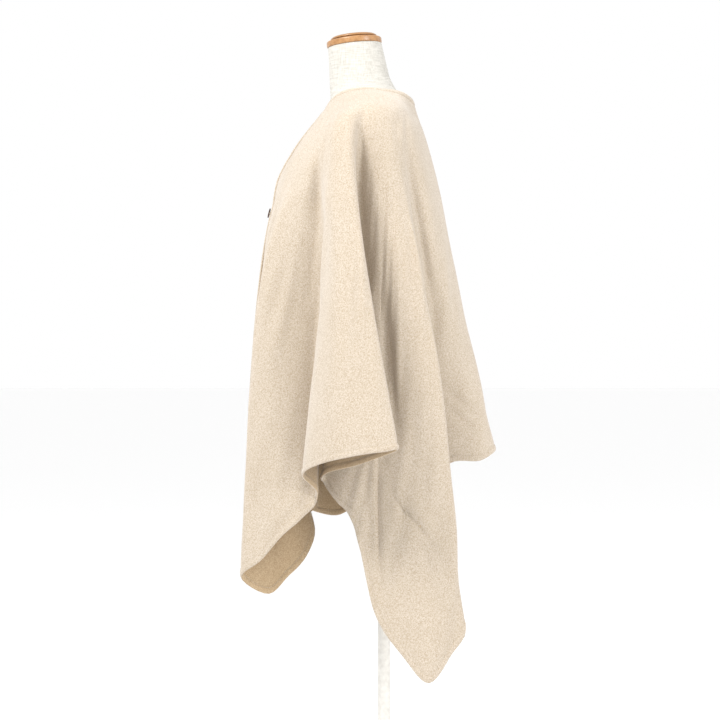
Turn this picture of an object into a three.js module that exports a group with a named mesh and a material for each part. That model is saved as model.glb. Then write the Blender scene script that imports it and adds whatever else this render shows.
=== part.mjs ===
// Knitted poncho sweater on a limbless dress form
//
// Millimetres, +Z up. The wearer faces -Y and the wearer's left is +X.
// The origin is the middle of the stand's underside, where it rests on the floor.
// The poncho is one rectangle of thick knit with a neck hole and a front slit. It lies on
// the shoulders and hangs in folds. Each row of a fold table is one line on the cloth that
// runs from the neck hole to the hem. Smooth curves join the rows, and the wall is that
// surface moved half its thickness to either side.

import * as THREE from 'three';

// Driving dimensions

const WALL = 2.6;              // thickness of the knit
const CLEARANCE = 2.7;         // between the cloth's inner face and the form
const SEAM_GAP = 0.3;          // between solids that meet
const FRONT_RISE = 6;          // how far the right front lies outside the left front
const LAP_ROWS = 3;            // fold lines of the right front that lie over the left front

const NECK_HOLE = {
  middleY: -28,
  halfWidth: 77,
  halfDepth: 85,
  sideZ: 1436,
  frontDrop: 32,
  frontPower: 1.2,   // how the edge eases from the sides down to the front
  backDrop: 14,
  backPower: 5,
};
const SHOULDER_SHARE = 0.55;   // where a fold line's shoulder point lies, from neck to break
const MIDDLE_SHARE = 0.5;      // height of the middle point, from break to hem
const UPPER_SHARE = 1 / 3;     // height of the upper point, from break to middle
const SETTLE_PASSES = 4;

const RING_TABLE = [           // rings of facets between two stretches of each fold line
  { from: 0, to: 0.4, steps: 4 },
  { from: 0.4, to: 0.6, steps: 4 },
  { from: 0.6, to: 1, steps: 8 },
];
const HEM_STEP = 38;           // target length of one facet along the hem
const LEAST_STEPS = 2;         // fewest and most facets between two fold lines
const MOST_STEPS = 3;

const FORM_SIDES = 36;
const FORM_RINGS = 46;
const CAP_TILT = THREE.MathUtils.degToRad(5.8);   // the neck's cut slopes down to the front
const CAP_SLOPE_FROM = 1470;   // height from which the form's rings begin to tilt
const CAP = {
  middleY: -59,
  middleZ: 1532,
  lowerRadius: 55,
  lowerHeight: 12.5,
  upperRadius: 45.5,
  upperHeight: 9,
  rounding: 3,
  sides: 32,
};

const BASE = { radius: 170, height: 14, bevel: 4, sides: 48 };
const POLE = {
  radius: 12.5,
  collarRadius: 26,
  collarHeight: 22,
  flangeRadius: 40,
  flangeHeight: 8,
  sides: 20,
};

const BUTTON = {
  radius: 10,
  height: 2.6,
  bevel: 0.7,
  holeRadius: 0.95,
  holePitch: 2.6,
  curveSegments: 10,
  z: 1206,
};

// Dress form: half sections by height. power is the squareness of the oval.

const FORM_TABLE = [
  { z: 804, front: -114, back: 94, half: 152, power: 2.2 },
  { z: 830, front: -117, back: 98, half: 156, power: 2.2 },
  { z: 880, front: -116, back: 92, half: 150, power: 2.2 },
  { z: 950, front: -106, back: 68, half: 130, power: 2.2 },
  { z: 1020, front: -102, back: 44, half: 114, power: 2.2 },
  { z: 1100, front: -146, back: 40, half: 120, power: 2.2 },
  { z: 1160, front: -192, back: 42, half: 132, power: 2.3 },
  { z: 1205, front: -213, back: 48, half: 142, power: 2.4 },
  { z: 1250, front: -207, back: 56, half: 156, power: 2.4 },
  { z: 1290, front: -190, back: 60, half: 169, power: 2.4 },
  { z: 1330, front: -162, back: 62, half: 181, power: 2.4 },
  { z: 1360, front: -138, back: 60, half: 185, power: 2.4 },
  { z: 1385, front: -119, back: 54, half: 172, power: 2.3 },
  { z: 1400, front: -110, back: 48, half: 148, power: 2.2 },
  { z: 1415, front: -107, back: 40, half: 116, power: 2.1 },
  { z: 1430, front: -107, back: 32, half: 84, power: 2 },
  { z: 1446, front: -108, back: 23, half: 64, power: 2 },
  { z: 1470, front: -109, back: 11, half: 57, power: 2 },
  { z: 1500, front: -110, back: 3, half: 54, power: 2 },
  { z: 1532, front: -112, back: -5, half: 53, power: 2 },
];

// Fold lines, in order from the left front edge round the left side and back to the right
// front edge. top is the break, where the cloth turns down from the shoulder and hem is the edge,
// as x, y, z. middle is half way down from break to hem and upper a third of the way from
// break to middle, as x, y.

const FOLD_TABLE = [
  // name, break, upper, middle, hem
  ['left front edge', [-20, -216, 1215], [-20, -232], [-20, -250], [-20, -265, 800]],
  ['left front dip', [38, -216, 1216], [38, -229], [37, -241], [36, -246, 789]],
  ['left front ridge', [70, -213, 1217], [73, -231], [78, -247], [84, -253, 757]],
  ['left front return', [86, -209, 1219], [91, -224], [93, -236], [98, -220, 704]],
  ['left trough front wall', [93, -206, 1220], [97, -218], [97, -212], [89, -158, 622]],
  ['left trough back wall', [98, -204, 1221], [103, -214], [108, -205], [106, -137, 562]],
  ['left front inner face', [103, -202, 1223], [108, -216], [114, -221], [117, -158, 514]],
  ['left front inner edge', [108, -199, 1225], [112, -219], [118, -234], [127, -185, 487]],
  ['left front corner', [113, -196, 1227], [118, -225], [122, -245], [135, -229, 453]],
  ['left corner fold', [119, -192, 1230], [126, -231], [131, -259], [155, -275, 489]],
  ['left corner return', [127, -186, 1236], [136, -221], [143, -247], [170, -240, 518]],
  ['left front panel', [144, -168, 1254], [150, -187], [157, -203], [185, -197, 568]],
  ['left front fall', [164, -144, 1286], [162, -156], [156, -165], [181, -161, 599]],
  ['left front valley', [178, -122, 1316], [168, -128], [150, -132], [168, -132, 629]],
  ['left sleeve root', [184, -114, 1328], [180, -116], [166, -121], [180, -131, 651]],
  ['left sleeve front', [190, -107, 1338], [204, -112], [220, -123], [240, -157, 688]],
  ['left sleeve face', [199, -93, 1356], [224, -102], [262, -101], [300, -115, 713]],
  ['left sleeve middle', [202, -79, 1364], [233, -83], [276, -69], [325, -53, 728]],
  ['left sleeve back', [202, -68, 1367], [236, -67], [283, -44], [325, 3, 736]],
  ['left sleeve turn', [199, -61, 1369], [229, -59], [275, -33], [314, 22, 739]],
  ['left sleeve inside', [196, -56, 1370], [217, -57], [258, -38], [296, 12, 732]],
  ['left sleeve return', [193, -51, 1370], [199, -60], [220, -57], [235, -49, 707]],
  ['left valley sleeve wall', [190, -46, 1370], [181, -60], [175, -84], [164, -121, 680]],
  ['left valley side wall', [188, -40, 1369], [171, -51], [158, -75], [150, -116, 663]],
  ['left side edge', [188, -33, 1369], [174, -41], [168, -48], [172, -94, 634]],
  ['left side corner', [187, -26, 1367], [178, -31], [179, -28], [185, -69, 608]],
  ['left side fall', [186, -18, 1365], [183, -17], [189, -13], [195, -49, 546]],
  ['left side crease', [184, -9, 1361], [185, -4], [190, 2], [193, -13, 416]],
  ['left corner side', [182, -1, 1357], [187, 7], [198, 22], [203, 29, 346]],
  ['left back corner', [180, 6, 1352], [186, 18], [198, 49], [207, 77, 292]],
  ['left corner back', [177, 13, 1347], [182, 31], [193, 80], [188, 126, 340]],
  ['left back ridge', [172, 20, 1342], [174, 44], [184, 105], [172, 151, 385]],
  ['left back valley side wall', [162, 33, 1341], [154, 46], [140, 74], [108, 38, 520]],
  ['left back valley back wall', [154, 38, 1342], [144, 56], [130, 86], [94, 60, 606]],
  ['left back fall', [134, 52, 1349], [128, 78], [116, 118], [97, 127, 702]],
  ['left back panel', [84, 68, 1358], [86, 96], [88, 138], [84, 188, 707]],
  ['left back swell', [38, 74, 1363], [46, 104], [54, 148], [50, 218, 726]],
  ['back dip', [-4, 75, 1364], [-4, 95], [-6, 108], [-8, 114, 720]],
  ['right back swell', [-44, 74, 1363], [-50, 103], [-58, 146], [-60, 213, 724]],
  ['right back panel', [-88, 67, 1358], [-90, 94], [-92, 134], [-94, 186, 714]],
  ['right back fall', [-134, 52, 1349], [-127, 77], [-114, 114], [-103, 126, 700]],
  ['right back valley back wall', [-154, 38, 1342], [-144, 55], [-130, 85], [-95, 58, 606]],
  ['right back valley side wall', [-162, 33, 1341], [-154, 45], [-140, 72], [-110, 36, 530]],
  ['right back ridge', [-172, 20, 1342], [-175, 42], [-182, 100], [-175, 138, 400]],
  ['right corner back', [-177, 13, 1347], [-182, 29], [-191, 74], [-190, 112, 358]],
  ['right back corner', [-180, 6, 1352], [-185, 17], [-197, 46], [-205, 75, 312]],
  ['right corner side', [-182, -2, 1357], [-187, 5], [-197, 20], [-204, 34, 366]],
  ['right side crease', [-184, -11, 1361], [-186, -7], [-192, 2], [-197, -8, 440]],
  ['right side fall', [-186, -22, 1366], [-184, -22], [-186, -18], [-200, -48, 548]],
  ['right valley side wall', [-187, -34, 1369], [-177, -38], [-164, -50], [-164, -78, 642]],
  ['right valley sleeve wall', [-189, -44, 1370], [-181, -48], [-174, -64], [-176, -96, 650]],
  ['right sleeve inside', [-192, -52, 1369], [-205, -50], [-222, -52], [-242, -46, 644]],
  ['right sleeve back', [-195, -62, 1366], [-220, -59], [-250, -50], [-278, -32, 622]],
  ['right sleeve middle', [-196, -80, 1360], [-225, -84], [-260, -90], [-286, -90, 573]],
  ['right sleeve front', [-188, -104, 1338], [-203, -110], [-220, -130], [-240, -150, 585]],
  ['right front valley', [-180, -118, 1322], [-170, -124], [-154, -128], [-168, -140, 596]],
  ['right front panel', [-144, -168, 1254], [-149, -183], [-152, -196], [-180, -196, 545]],
  ['right corner fold', [-120, -192, 1230], [-127, -222], [-130, -246], [-152, -245, 484]],
  ['right front corner', [-111, -198, 1226], [-116, -217], [-116, -234], [-136, -212, 470]],
  ['right trough back wall', [-100, -204, 1222], [-105, -213], [-108, -206], [-106, -156, 584]],
  ['right trough front wall', [-93, -207, 1220], [-98, -218], [-97, -213], [-91, -172, 626]],
  ['right front return', [-86, -210, 1219], [-91, -225], [-92, -237], [-96, -226, 706]],
  ['right front ridge', [-70, -214, 1217], [-74, -233], [-78, -249], [-80, -257, 760]],
  ['right front dip', [-50, -218, 1216], [-50, -234], [-52, -250], [-54, -260, 784]],
  ['right front lap', [-32, -222, 1215], [-32, -237], [-32, -255], [-32, -270, 796]],
  ['right front edge', [20, -222, 1215], [20, -238], [20, -256], [20, -272, 801]],
].map(([name, top, upper, middle, hem]) => ({ name, top, upper, middle, hem }));

// Smooth value of one column of a table between its rows

function columnAt(table, key, z) {
  const last = table.length - 1;
  let row = 0;
  while (row < last - 1 && z > table[row + 1].z) row += 1;
  const slope = (from) => (table[from + 1][key] - table[from][key]) / (table[from + 1].z - table[from].z);
  const tangent = (at) => {
    if (at === 0) return slope(0);
    if (at === last) return slope(last - 1);
    const before = slope(at - 1);
    const after = slope(at);
    return before * after > 0 ? (2 * before * after) / (before + after) : 0;
  };
  const span = table[row + 1].z - table[row].z;
  const t = THREE.MathUtils.clamp((z - table[row].z) / span, 0, 1);
  const start = (1 + 2 * t) * (1 - t) ** 2 * table[row][key] + t * (1 - t) ** 2 * span * tangent(row);
  const end = t * t * (3 - 2 * t) * table[row + 1][key] - t * t * (1 - t) * span * tangent(row + 1);
  return start + end;
}

// Form section at a height

function formSection(z) {
  const front = columnAt(FORM_TABLE, 'front', z);
  const back = columnAt(FORM_TABLE, 'back', z);
  return {
    middleY: (front + back) / 2,
    depth: (back - front) / 2,
    half: columnAt(FORM_TABLE, 'half', z),
    power: columnAt(FORM_TABLE, 'power', z),
  };
}

// Signed distance from the form, near enough close to its surface

function formField(point) {
  const { middleY, depth, half, power } = formSection(point.z);
  const across = Math.abs(point.x) / half;
  const along = Math.abs(point.y - middleY) / depth;
  const radius = (across ** power + along ** power) ** (1 / power);
  return (radius - 1) * Math.min(half, depth);
}

function formGradient(point) {
  const probe = 0.5;
  const change = (dx, dy, dz) => {
    const ahead = formField(new THREE.Vector3(point.x + dx, point.y + dy, point.z + dz));
    const behind = formField(new THREE.Vector3(point.x - dx, point.y - dy, point.z - dz));
    return (ahead - behind) / (2 * probe);
  };
  return new THREE.Vector3(change(probe, 0, 0), change(0, probe, 0), change(0, 0, probe));
}

// Move a point along the form's normal to a wanted distance. hug is 1 where the cloth lies
// on the form and 0 where it may only be pushed out.

function settle(point, distance, hug) {
  const settled = point.clone();
  for (let pass = 0; pass < SETTLE_PASSES; pass += 1) {
    if (settled.z < FORM_TABLE[0].z) return settled;
    const gradient = formGradient(settled);
    const steepness = gradient.length();
    const gap = distance - formField(settled) / steepness;
    settled.addScaledVector(gradient, (gap > 0 ? gap : gap * hug) / steepness);
  }
  return settled;
}

// Fold lines as curves from the neck hole to the hem

function neckPoint(turn) {
  const front = Math.max(0, Math.cos(turn)) ** NECK_HOLE.frontPower;
  const back = Math.max(0, -Math.cos(turn)) ** NECK_HOLE.backPower;
  return new THREE.Vector3(
    NECK_HOLE.halfWidth * Math.sin(turn),
    NECK_HOLE.middleY - NECK_HOLE.halfDepth * Math.cos(turn),
    NECK_HOLE.sideZ - NECK_HOLE.frontDrop * front - NECK_HOLE.backDrop * back,
  );
}

function liftOf(row) {
  const fromEdge = FOLD_TABLE.length - 1 - row;
  return fromEdge < LAP_ROWS ? FRONT_RISE * (1 - Math.max(0, fromEdge - 1) / LAP_ROWS) : 0;
}

function foldCurve(fold, row) {
  const turn = Math.atan2(fold.top[0], NECK_HOLE.middleY - fold.top[1]);
  const distance = WALL / 2 + CLEARANCE + liftOf(row);
  const neck = settle(neckPoint(turn), distance, 0);
  const brk = settle(new THREE.Vector3(...fold.top), distance, 0);
  const shoulder = settle(neck.clone().lerp(brk, SHOULDER_SHARE), distance, Math.sin(turn) ** 2);
  const hem = new THREE.Vector3(...fold.hem);
  const middleZ = THREE.MathUtils.lerp(brk.z, hem.z, MIDDLE_SHARE);
  const upperZ = THREE.MathUtils.lerp(brk.z, middleZ, UPPER_SHARE);
  const middle = new THREE.Vector3(...fold.middle, middleZ);
  const upper = new THREE.Vector3(...fold.upper, upperZ);
  return new THREE.CatmullRomCurve3([neck, shoulder, brk, upper, middle, hem], false, 'centripetal');
}

// Places of the rings along a fold line, where its six points lie at fifths

function ringPlaces() {
  const places = [];
  for (const { from, to, steps } of RING_TABLE) {
    for (let step = 0; step < steps; step += 1) places.push(from + ((to - from) * step) / steps);
  }
  places.push(1);
  return places;
}

// Middle surface of the cloth: grid[ring][column]

function clothGrid() {
  const curves = FOLD_TABLE.map(foldCurve);
  const columns = [];
  for (let row = 0; row < FOLD_TABLE.length - 1; row += 1) {
    const here = new THREE.Vector3(...FOLD_TABLE[row].hem);
    const width = here.distanceTo(new THREE.Vector3(...FOLD_TABLE[row + 1].hem));
    const steps = THREE.MathUtils.clamp(Math.round(width / HEM_STEP), LEAST_STEPS, MOST_STEPS);
    for (let step = 0; step < steps; step += 1) columns.push(row + step / steps);
  }
  columns.push(FOLD_TABLE.length - 1);

  const rings = [];
  for (const along of ringPlaces()) {
    const knots = curves.map((curve) => curve.getPoint(along));
    const across = new THREE.CatmullRomCurve3(knots, false, 'centripetal');
    rings.push(columns.map((column) => {
      const low = Math.min(Math.floor(column), FOLD_TABLE.length - 2);
      const lift = THREE.MathUtils.lerp(liftOf(low), liftOf(low + 1), column - low);
      const point = across.getPoint(column / (FOLD_TABLE.length - 1));
      return settle(point, WALL / 2 + CLEARANCE + lift, 0);
    }));
  }
  return rings;
}

// Unit normals of a grid, pointing away from the wearer

function gridNormals(grid) {
  const last = grid.length - 1;
  const side = grid[0].length - 1;
  return grid.map((ring, i) => ring.map((point, j) => {
    const down = grid[Math.min(i + 1, last)][j].clone().sub(grid[Math.max(i - 1, 0)][j]);
    const round = grid[i][Math.min(j + 1, side)].clone().sub(grid[i][Math.max(j - 1, 0)]);
    return down.cross(round).normalize();
  }));
}

// Closed wall on a grid, from its inner to its outer face

function wallGeometry(grid, thickness) {
  const rings = grid.length;
  const columns = grid[0].length;
  const normals = gridNormals(grid);
  const positions = [];
  for (const side of [-0.5, 0.5]) {
    for (let i = 0; i < rings; i += 1) {
      for (let j = 0; j < columns; j += 1) {
        const point = grid[i][j].clone().addScaledVector(normals[i][j], side * thickness);
        positions.push(point.x, point.y, point.z);
      }
    }
  }
  const inner = (i, j) => i * columns + j;
  const outer = (i, j) => rings * columns + inner(i, j);
  const indices = [];
  const quad = (a, b, c, d) => indices.push(a, b, c, a, c, d);
  for (let i = 0; i < rings - 1; i += 1) {
    for (let j = 0; j < columns - 1; j += 1) {
      quad(outer(i, j), outer(i + 1, j), outer(i + 1, j + 1), outer(i, j + 1));
      quad(inner(i, j), inner(i, j + 1), inner(i + 1, j + 1), inner(i + 1, j));
    }
  }
  const end = rings - 1;
  const side = columns - 1;
  for (let j = 0; j < side; j += 1) {
    quad(inner(0, j), outer(0, j), outer(0, j + 1), inner(0, j + 1));
    quad(inner(end, j), inner(end, j + 1), outer(end, j + 1), outer(end, j));
  }
  for (let i = 0; i < end; i += 1) {
    quad(inner(i, 0), inner(i + 1, 0), outer(i + 1, 0), outer(i, 0));
    quad(inner(i, side), outer(i, side), outer(i + 1, side), inner(i + 1, side));
  }
  return indexedGeometry(positions, indices);
}

function indexedGeometry(positions, indices) {
  const geometry = new THREE.BufferGeometry();
  geometry.setAttribute('position', new THREE.Float32BufferAttribute(positions, 3));
  geometry.setIndex(indices);
  geometry.computeVertexNormals();
  return geometry;
}

// Dress form: closed rings from the hips to the sloping cut of the neck

function formGeometry() {
  const bottom = FORM_TABLE[0].z;
  const top = FORM_TABLE[FORM_TABLE.length - 1].z;
  const positions = [];
  const indices = [];
  const rings = FORM_RINGS;
  for (let ring = 0; ring <= rings; ring += 1) {
    const z = THREE.MathUtils.lerp(bottom, top, ring / rings);
    const { middleY, depth, half, power } = formSection(z);
    const share = THREE.MathUtils.clamp((z - CAP_SLOPE_FROM) / (top - CAP_SLOPE_FROM), 0, 1);
    const tilt = Math.tan(CAP_TILT) * share;
    for (let side = 0; side < FORM_SIDES; side += 1) {
      const turn = (2 * Math.PI * side) / FORM_SIDES;
      const x = half * Math.sign(Math.cos(turn)) * Math.abs(Math.cos(turn)) ** (2 / power);
      const y = middleY + depth * Math.sign(Math.sin(turn)) * Math.abs(Math.sin(turn)) ** (2 / power);
      positions.push(x, y, z + (y - CAP.middleY) * tilt);
    }
  }
  const topSection = formSection(top);
  const bottomCentre = positions.length / 3;
  positions.push(0, formSection(bottom).middleY, bottom);
  positions.push(0, topSection.middleY, top + (topSection.middleY - CAP.middleY) * Math.tan(CAP_TILT));
  for (let ring = 0; ring < rings; ring += 1) {
    for (let side = 0; side < FORM_SIDES; side += 1) {
      const next = (side + 1) % FORM_SIDES;
      const a = ring * FORM_SIDES + side;
      const b = ring * FORM_SIDES + next;
      indices.push(a, b, b + FORM_SIDES, a, b + FORM_SIDES, a + FORM_SIDES);
    }
  }
  for (let side = 0; side < FORM_SIDES; side += 1) {
    const next = (side + 1) % FORM_SIDES;
    indices.push(bottomCentre, next, side);
    indices.push(bottomCentre + 1, rings * FORM_SIDES + side, rings * FORM_SIDES + next);
  }
  return indexedGeometry(positions, indices);
}

// Turned pieces: a profile of radius and height pairs, from the axis out and back

function turnedGeometry(profile, sides) {
  const points = profile.map(([radius, height]) => new THREE.Vector2(radius, height));
  return new THREE.LatheGeometry(points, sides).rotateX(Math.PI / 2);
}

// Two-tier wooden cap on the neck

function capGeometry() {
  const { lowerRadius, lowerHeight, upperRadius, upperHeight, rounding, sides } = CAP;
  const top = lowerHeight + upperHeight;
  const profile = [
    [0, 0],
    [lowerRadius - rounding, 0],
    [lowerRadius, rounding],
    [lowerRadius, lowerHeight - rounding],
    [lowerRadius - rounding, lowerHeight],
    [upperRadius, lowerHeight],
    [upperRadius, top - rounding],
    [upperRadius - rounding, top],
    [0, top],
  ];
  return turnedGeometry(profile, sides);
}

// Stand: round base plate, and a pole with a collar and a flange under the form

function baseGeometry() {
  const { radius, height, bevel, sides } = BASE;
  const profile = [
    [0, 0],
    [radius, 0],
    [radius, height - bevel],
    [radius - bevel, height],
    [0, height],
  ];
  return turnedGeometry(profile, sides);
}

function poleGeometry() {
  const { radius, collarRadius, collarHeight, flangeRadius, flangeHeight, sides } = POLE;
  const length = FORM_TABLE[0].z - BASE.height - 2 * SEAM_GAP;
  const profile = [
    [0, 0],
    [collarRadius, 0],
    [collarRadius, collarHeight],
    [radius, collarHeight],
    [radius, length - flangeHeight],
    [flangeRadius, length - flangeHeight],
    [flangeRadius, length],
    [0, length],
  ];
  return turnedGeometry(profile, sides);
}

// Button with four holes and a rounded rim

function buttonGeometry() {
  const { radius, height, bevel, holeRadius, holePitch, curveSegments } = BUTTON;
  const outline = new THREE.Shape().absarc(0, 0, radius - bevel, 0, 2 * Math.PI);
  for (const [x, y] of [[1, 1], [-1, 1], [-1, -1], [1, -1]]) {
    const hole = new THREE.Path();
    hole.absarc((x * holePitch) / 2, (y * holePitch) / 2, holeRadius, 0, 2 * Math.PI, true);
    outline.holes.push(hole);
  }
  const settings = {
    depth: height - 2 * bevel,
    bevelSize: bevel,
    bevelThickness: bevel,
    bevelSegments: 1,
    curveSegments,
  };
  return new THREE.ExtrudeGeometry(outline, settings).translate(0, 0, bevel);
}

// Materials by colour, roughness and metalness

const knit = new THREE.MeshStandardMaterial({ color: '#d9c9b2', roughness: 0.95, metalness: 0 });
const linen = new THREE.MeshStandardMaterial({ color: '#e6e1d6', roughness: 0.9, metalness: 0 });
const beech = new THREE.MeshStandardMaterial({ color: '#b9794a', roughness: 0.45, metalness: 0 });
const horn = new THREE.MeshStandardMaterial({ color: '#4a3428', roughness: 0.35, metalness: 0 });
const enamel = new THREE.MeshStandardMaterial({ color: '#f1efec', roughness: 0.4, metalness: 0.2 });

function solid(name, geometry, material) {
  const mesh = new THREE.Mesh(geometry, material);
  mesh.name = name;
  return mesh;
}

// Assembly

const garment = new THREE.Group();
const grid = clothGrid();
garment.add(solid('poncho_panel', wallGeometry(grid, WALL), knit));

function placeButton() {
  const button = solid('front_button', buttonGeometry(), horn);
  const normals = gridNormals(grid);
  const side = grid[0].length - 1;
  let best = { miss: Infinity };
  grid.forEach((ring, i) => {
    for (let j = side - LEAST_STEPS * LAP_ROWS; j <= side; j += 1) {
      const miss = Math.hypot(ring[j].x, ring[j].z - BUTTON.z);
      if (miss < best.miss) best = { miss, point: ring[j], normal: normals[i][j] };
    }
  });
  const seat = best.point.clone().addScaledVector(best.normal, WALL / 2 + SEAM_GAP);
  button.position.copy(seat);
  button.quaternion.setFromUnitVectors(new THREE.Vector3(0, 0, 1), best.normal);
  return button;
}
garment.add(placeButton());

const dressForm = new THREE.Group();
dressForm.add(solid('dress_form', formGeometry(), linen));
const cap = solid('neck_cap', capGeometry(), beech);
cap.position.set(0, CAP.middleY, CAP.middleZ + SEAM_GAP);
cap.rotation.x = CAP_TILT;
dressForm.add(cap);

const stand = new THREE.Group();
stand.add(solid('stand_base', baseGeometry(), enamel));
const pole = solid('stand_pole', poleGeometry(), enamel);
pole.position.z = BASE.height + SEAM_GAP;
stand.add(pole);

const poncho = new THREE.Group();
poncho.name = 'poncho_on_dress_form';
poncho.add(garment, dressForm, stand);

export default poncho;
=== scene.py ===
# %% [markdown]
# Knitted poncho sweater on a dress form
#
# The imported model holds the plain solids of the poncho, its button, the dress form and the
# stand, in metres. This lesson dresses each of them for Blender. The cloth gets turned edges,
# stitches, creases and wool. Everything rides on the one body called root.

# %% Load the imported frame
import math
import bpy
import numpy as np
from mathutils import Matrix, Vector


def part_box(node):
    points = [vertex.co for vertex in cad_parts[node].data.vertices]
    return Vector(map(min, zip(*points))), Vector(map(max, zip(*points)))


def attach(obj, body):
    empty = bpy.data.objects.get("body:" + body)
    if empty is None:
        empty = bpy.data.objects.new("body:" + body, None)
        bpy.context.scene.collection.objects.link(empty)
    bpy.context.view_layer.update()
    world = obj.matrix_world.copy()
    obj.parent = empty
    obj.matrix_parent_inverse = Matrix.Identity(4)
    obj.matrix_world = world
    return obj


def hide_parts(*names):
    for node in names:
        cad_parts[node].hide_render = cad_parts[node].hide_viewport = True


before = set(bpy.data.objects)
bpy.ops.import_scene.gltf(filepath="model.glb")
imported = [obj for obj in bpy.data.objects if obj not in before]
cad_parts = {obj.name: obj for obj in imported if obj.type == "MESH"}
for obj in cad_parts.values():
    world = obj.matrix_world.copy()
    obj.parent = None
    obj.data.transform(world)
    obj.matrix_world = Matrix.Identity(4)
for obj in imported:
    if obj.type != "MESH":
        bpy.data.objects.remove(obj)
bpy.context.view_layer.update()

MM = 0.001

# %% [markdown]
# Smooth curves
#
# Cloth hangs in lines without corners. The solids join their table rows with centripetal
# Catmull-Rom curves, which never loop between close points, so the same curve is used here.
# The function takes a whole stack of curves at once, because numpy is quick that way.

# %% Curve through a row of points
def curve_points(knots, places):
    """Points of the curves through knots[..., n, 3] at places from 0 to 1."""
    count = knots.shape[-2]
    before = 2 * knots[..., :1, :] - knots[..., 1:2, :]
    after = 2 * knots[..., -1:, :] - knots[..., -2:-1, :]
    row = np.concatenate([before, knots, after], axis=-2)
    span = np.minimum((places * (count - 1)).astype(int), count - 2)
    t = (places * (count - 1) - span)[:, None]
    p0, p1, p2, p3 = (row[..., span + k, :] for k in range(4))
    def pace(a, b):
        return np.maximum(np.sum((b - a) ** 2, axis=-1, keepdims=True) ** 0.25, 1e-6)
    d0, d1, d2 = pace(p0, p1), pace(p1, p2), pace(p2, p3)
    m1 = ((p1 - p0) / d0 - (p2 - p0) / (d0 + d1) + (p2 - p1) / d1) * d1
    m2 = ((p2 - p1) / d1 - (p3 - p1) / (d1 + d2) + (p3 - p2) / d2) * d1
    return p1 + m1 * t + (3 * (p2 - p1) - 2 * m1 - m2) * t**2 + (2 * (p1 - p2) + m1 + m2) * t**3

# %% [markdown]
# The dress form's shape
#
# A dress form is a padded body cut to half sections: how far it reaches to the front, the
# back and the side at each height. The cloth needs this shape too, because it must never
# sink into the body it hangs on.

# %% Half sections of the form and the distance from it
# height, front, back, half width in mm, and squareness of the oval
FORM_TABLE = np.array([
    (804, -114, 94, 152, 2.2),
    (830, -117, 98, 156, 2.2),
    (880, -116, 92, 150, 2.2),
    (950, -106, 68, 130, 2.2),
    (1020, -102, 44, 114, 2.2),
    (1100, -146, 40, 120, 2.2),
    (1160, -192, 42, 132, 2.3),
    (1205, -213, 48, 142, 2.4),
    (1250, -207, 56, 156, 2.4),
    (1290, -190, 60, 169, 2.4),
    (1330, -162, 62, 181, 2.4),
    (1360, -138, 60, 185, 2.4),
    (1385, -119, 54, 172, 2.3),
    (1400, -110, 48, 148, 2.2),
    (1415, -107, 40, 116, 2.1),
    (1430, -107, 32, 84, 2),
    (1446, -108, 23, 64, 2),
    (1470, -109, 11, 57, 2),
    (1500, -110, 3, 54, 2),
    (1532, -112, -5, 53, 2),
])
FORM_LOW, FORM_HIGH = FORM_TABLE[0, 0], FORM_TABLE[-1, 0]


def form_section(z):
    """Middle, half depth, half width and squareness at heights z, smooth between rows."""
    heights = FORM_TABLE[:, 0]
    row = np.clip(np.searchsorted(heights, z, side="right") - 1, 0, len(heights) - 2)
    span = heights[row + 1] - heights[row]
    t = np.clip((z - heights[row]) / span, 0, 1)
    columns = []
    for values in FORM_TABLE[:, 1:].T:
        slope = np.diff(values) / np.diff(heights)
        product = slope[:-1] * slope[1:]
        total = np.where(product > 0, slope[:-1] + slope[1:], 1)
        inside = np.where(product > 0, 2 * product / total, 0)
        tangent = np.concatenate([slope[:1], inside, slope[-1:]])
        start = (1 + 2 * t) * (1 - t) ** 2 * values[row] + t * (1 - t) ** 2 * span * tangent[row]
        end = t**2 * (3 - 2 * t) * values[row + 1] - t**2 * (1 - t) * span * tangent[row + 1]
        columns.append(start + end)
    front, back, half, power = columns
    return (front + back) / 2, (back - front) / 2, half, power


def form_field(points):
    """About the distance of points from the form, in mm."""
    middle, depth, half, power = form_section(points[..., 2])
    across = np.abs(points[..., 0]) / half
    along = np.abs(points[..., 1] - middle) / depth
    radius = (across**power + along**power) ** (1 / power)
    return (radius - 1) * np.minimum(half, depth)


def settle(points, distance, hug=0.0):
    """Push points out to a distance from the form, or with hug 1 right onto it."""
    points = np.array(points, dtype=float)
    for _ in range(4):
        gradient = np.stack([
            form_field(points + step) - form_field(points - step) for step in 0.5 * np.eye(3)
        ], axis=-1)
        steepness = np.linalg.norm(gradient, axis=-1)
        gap = distance - form_field(points) / steepness
        move = np.where(gap > 0, gap, gap * hug) * (points[..., 2] >= FORM_LOW)
        points += gradient * (move / steepness)[..., None]
    return points


print("form from", FORM_LOW, "to", FORM_HIGH, "mm")

# %% [markdown]
# The poncho's fold lines
#
# The poncho is one rectangle of thick knit with a neck hole and a front slit. It could be
# draped by simulation, but then no fold would lie where the real one does. Here each row is
# one line on the cloth from the neck to the hem. The rows go from the left front edge round
# the left side and the back to the right front edge, which laps over the left one.

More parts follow.
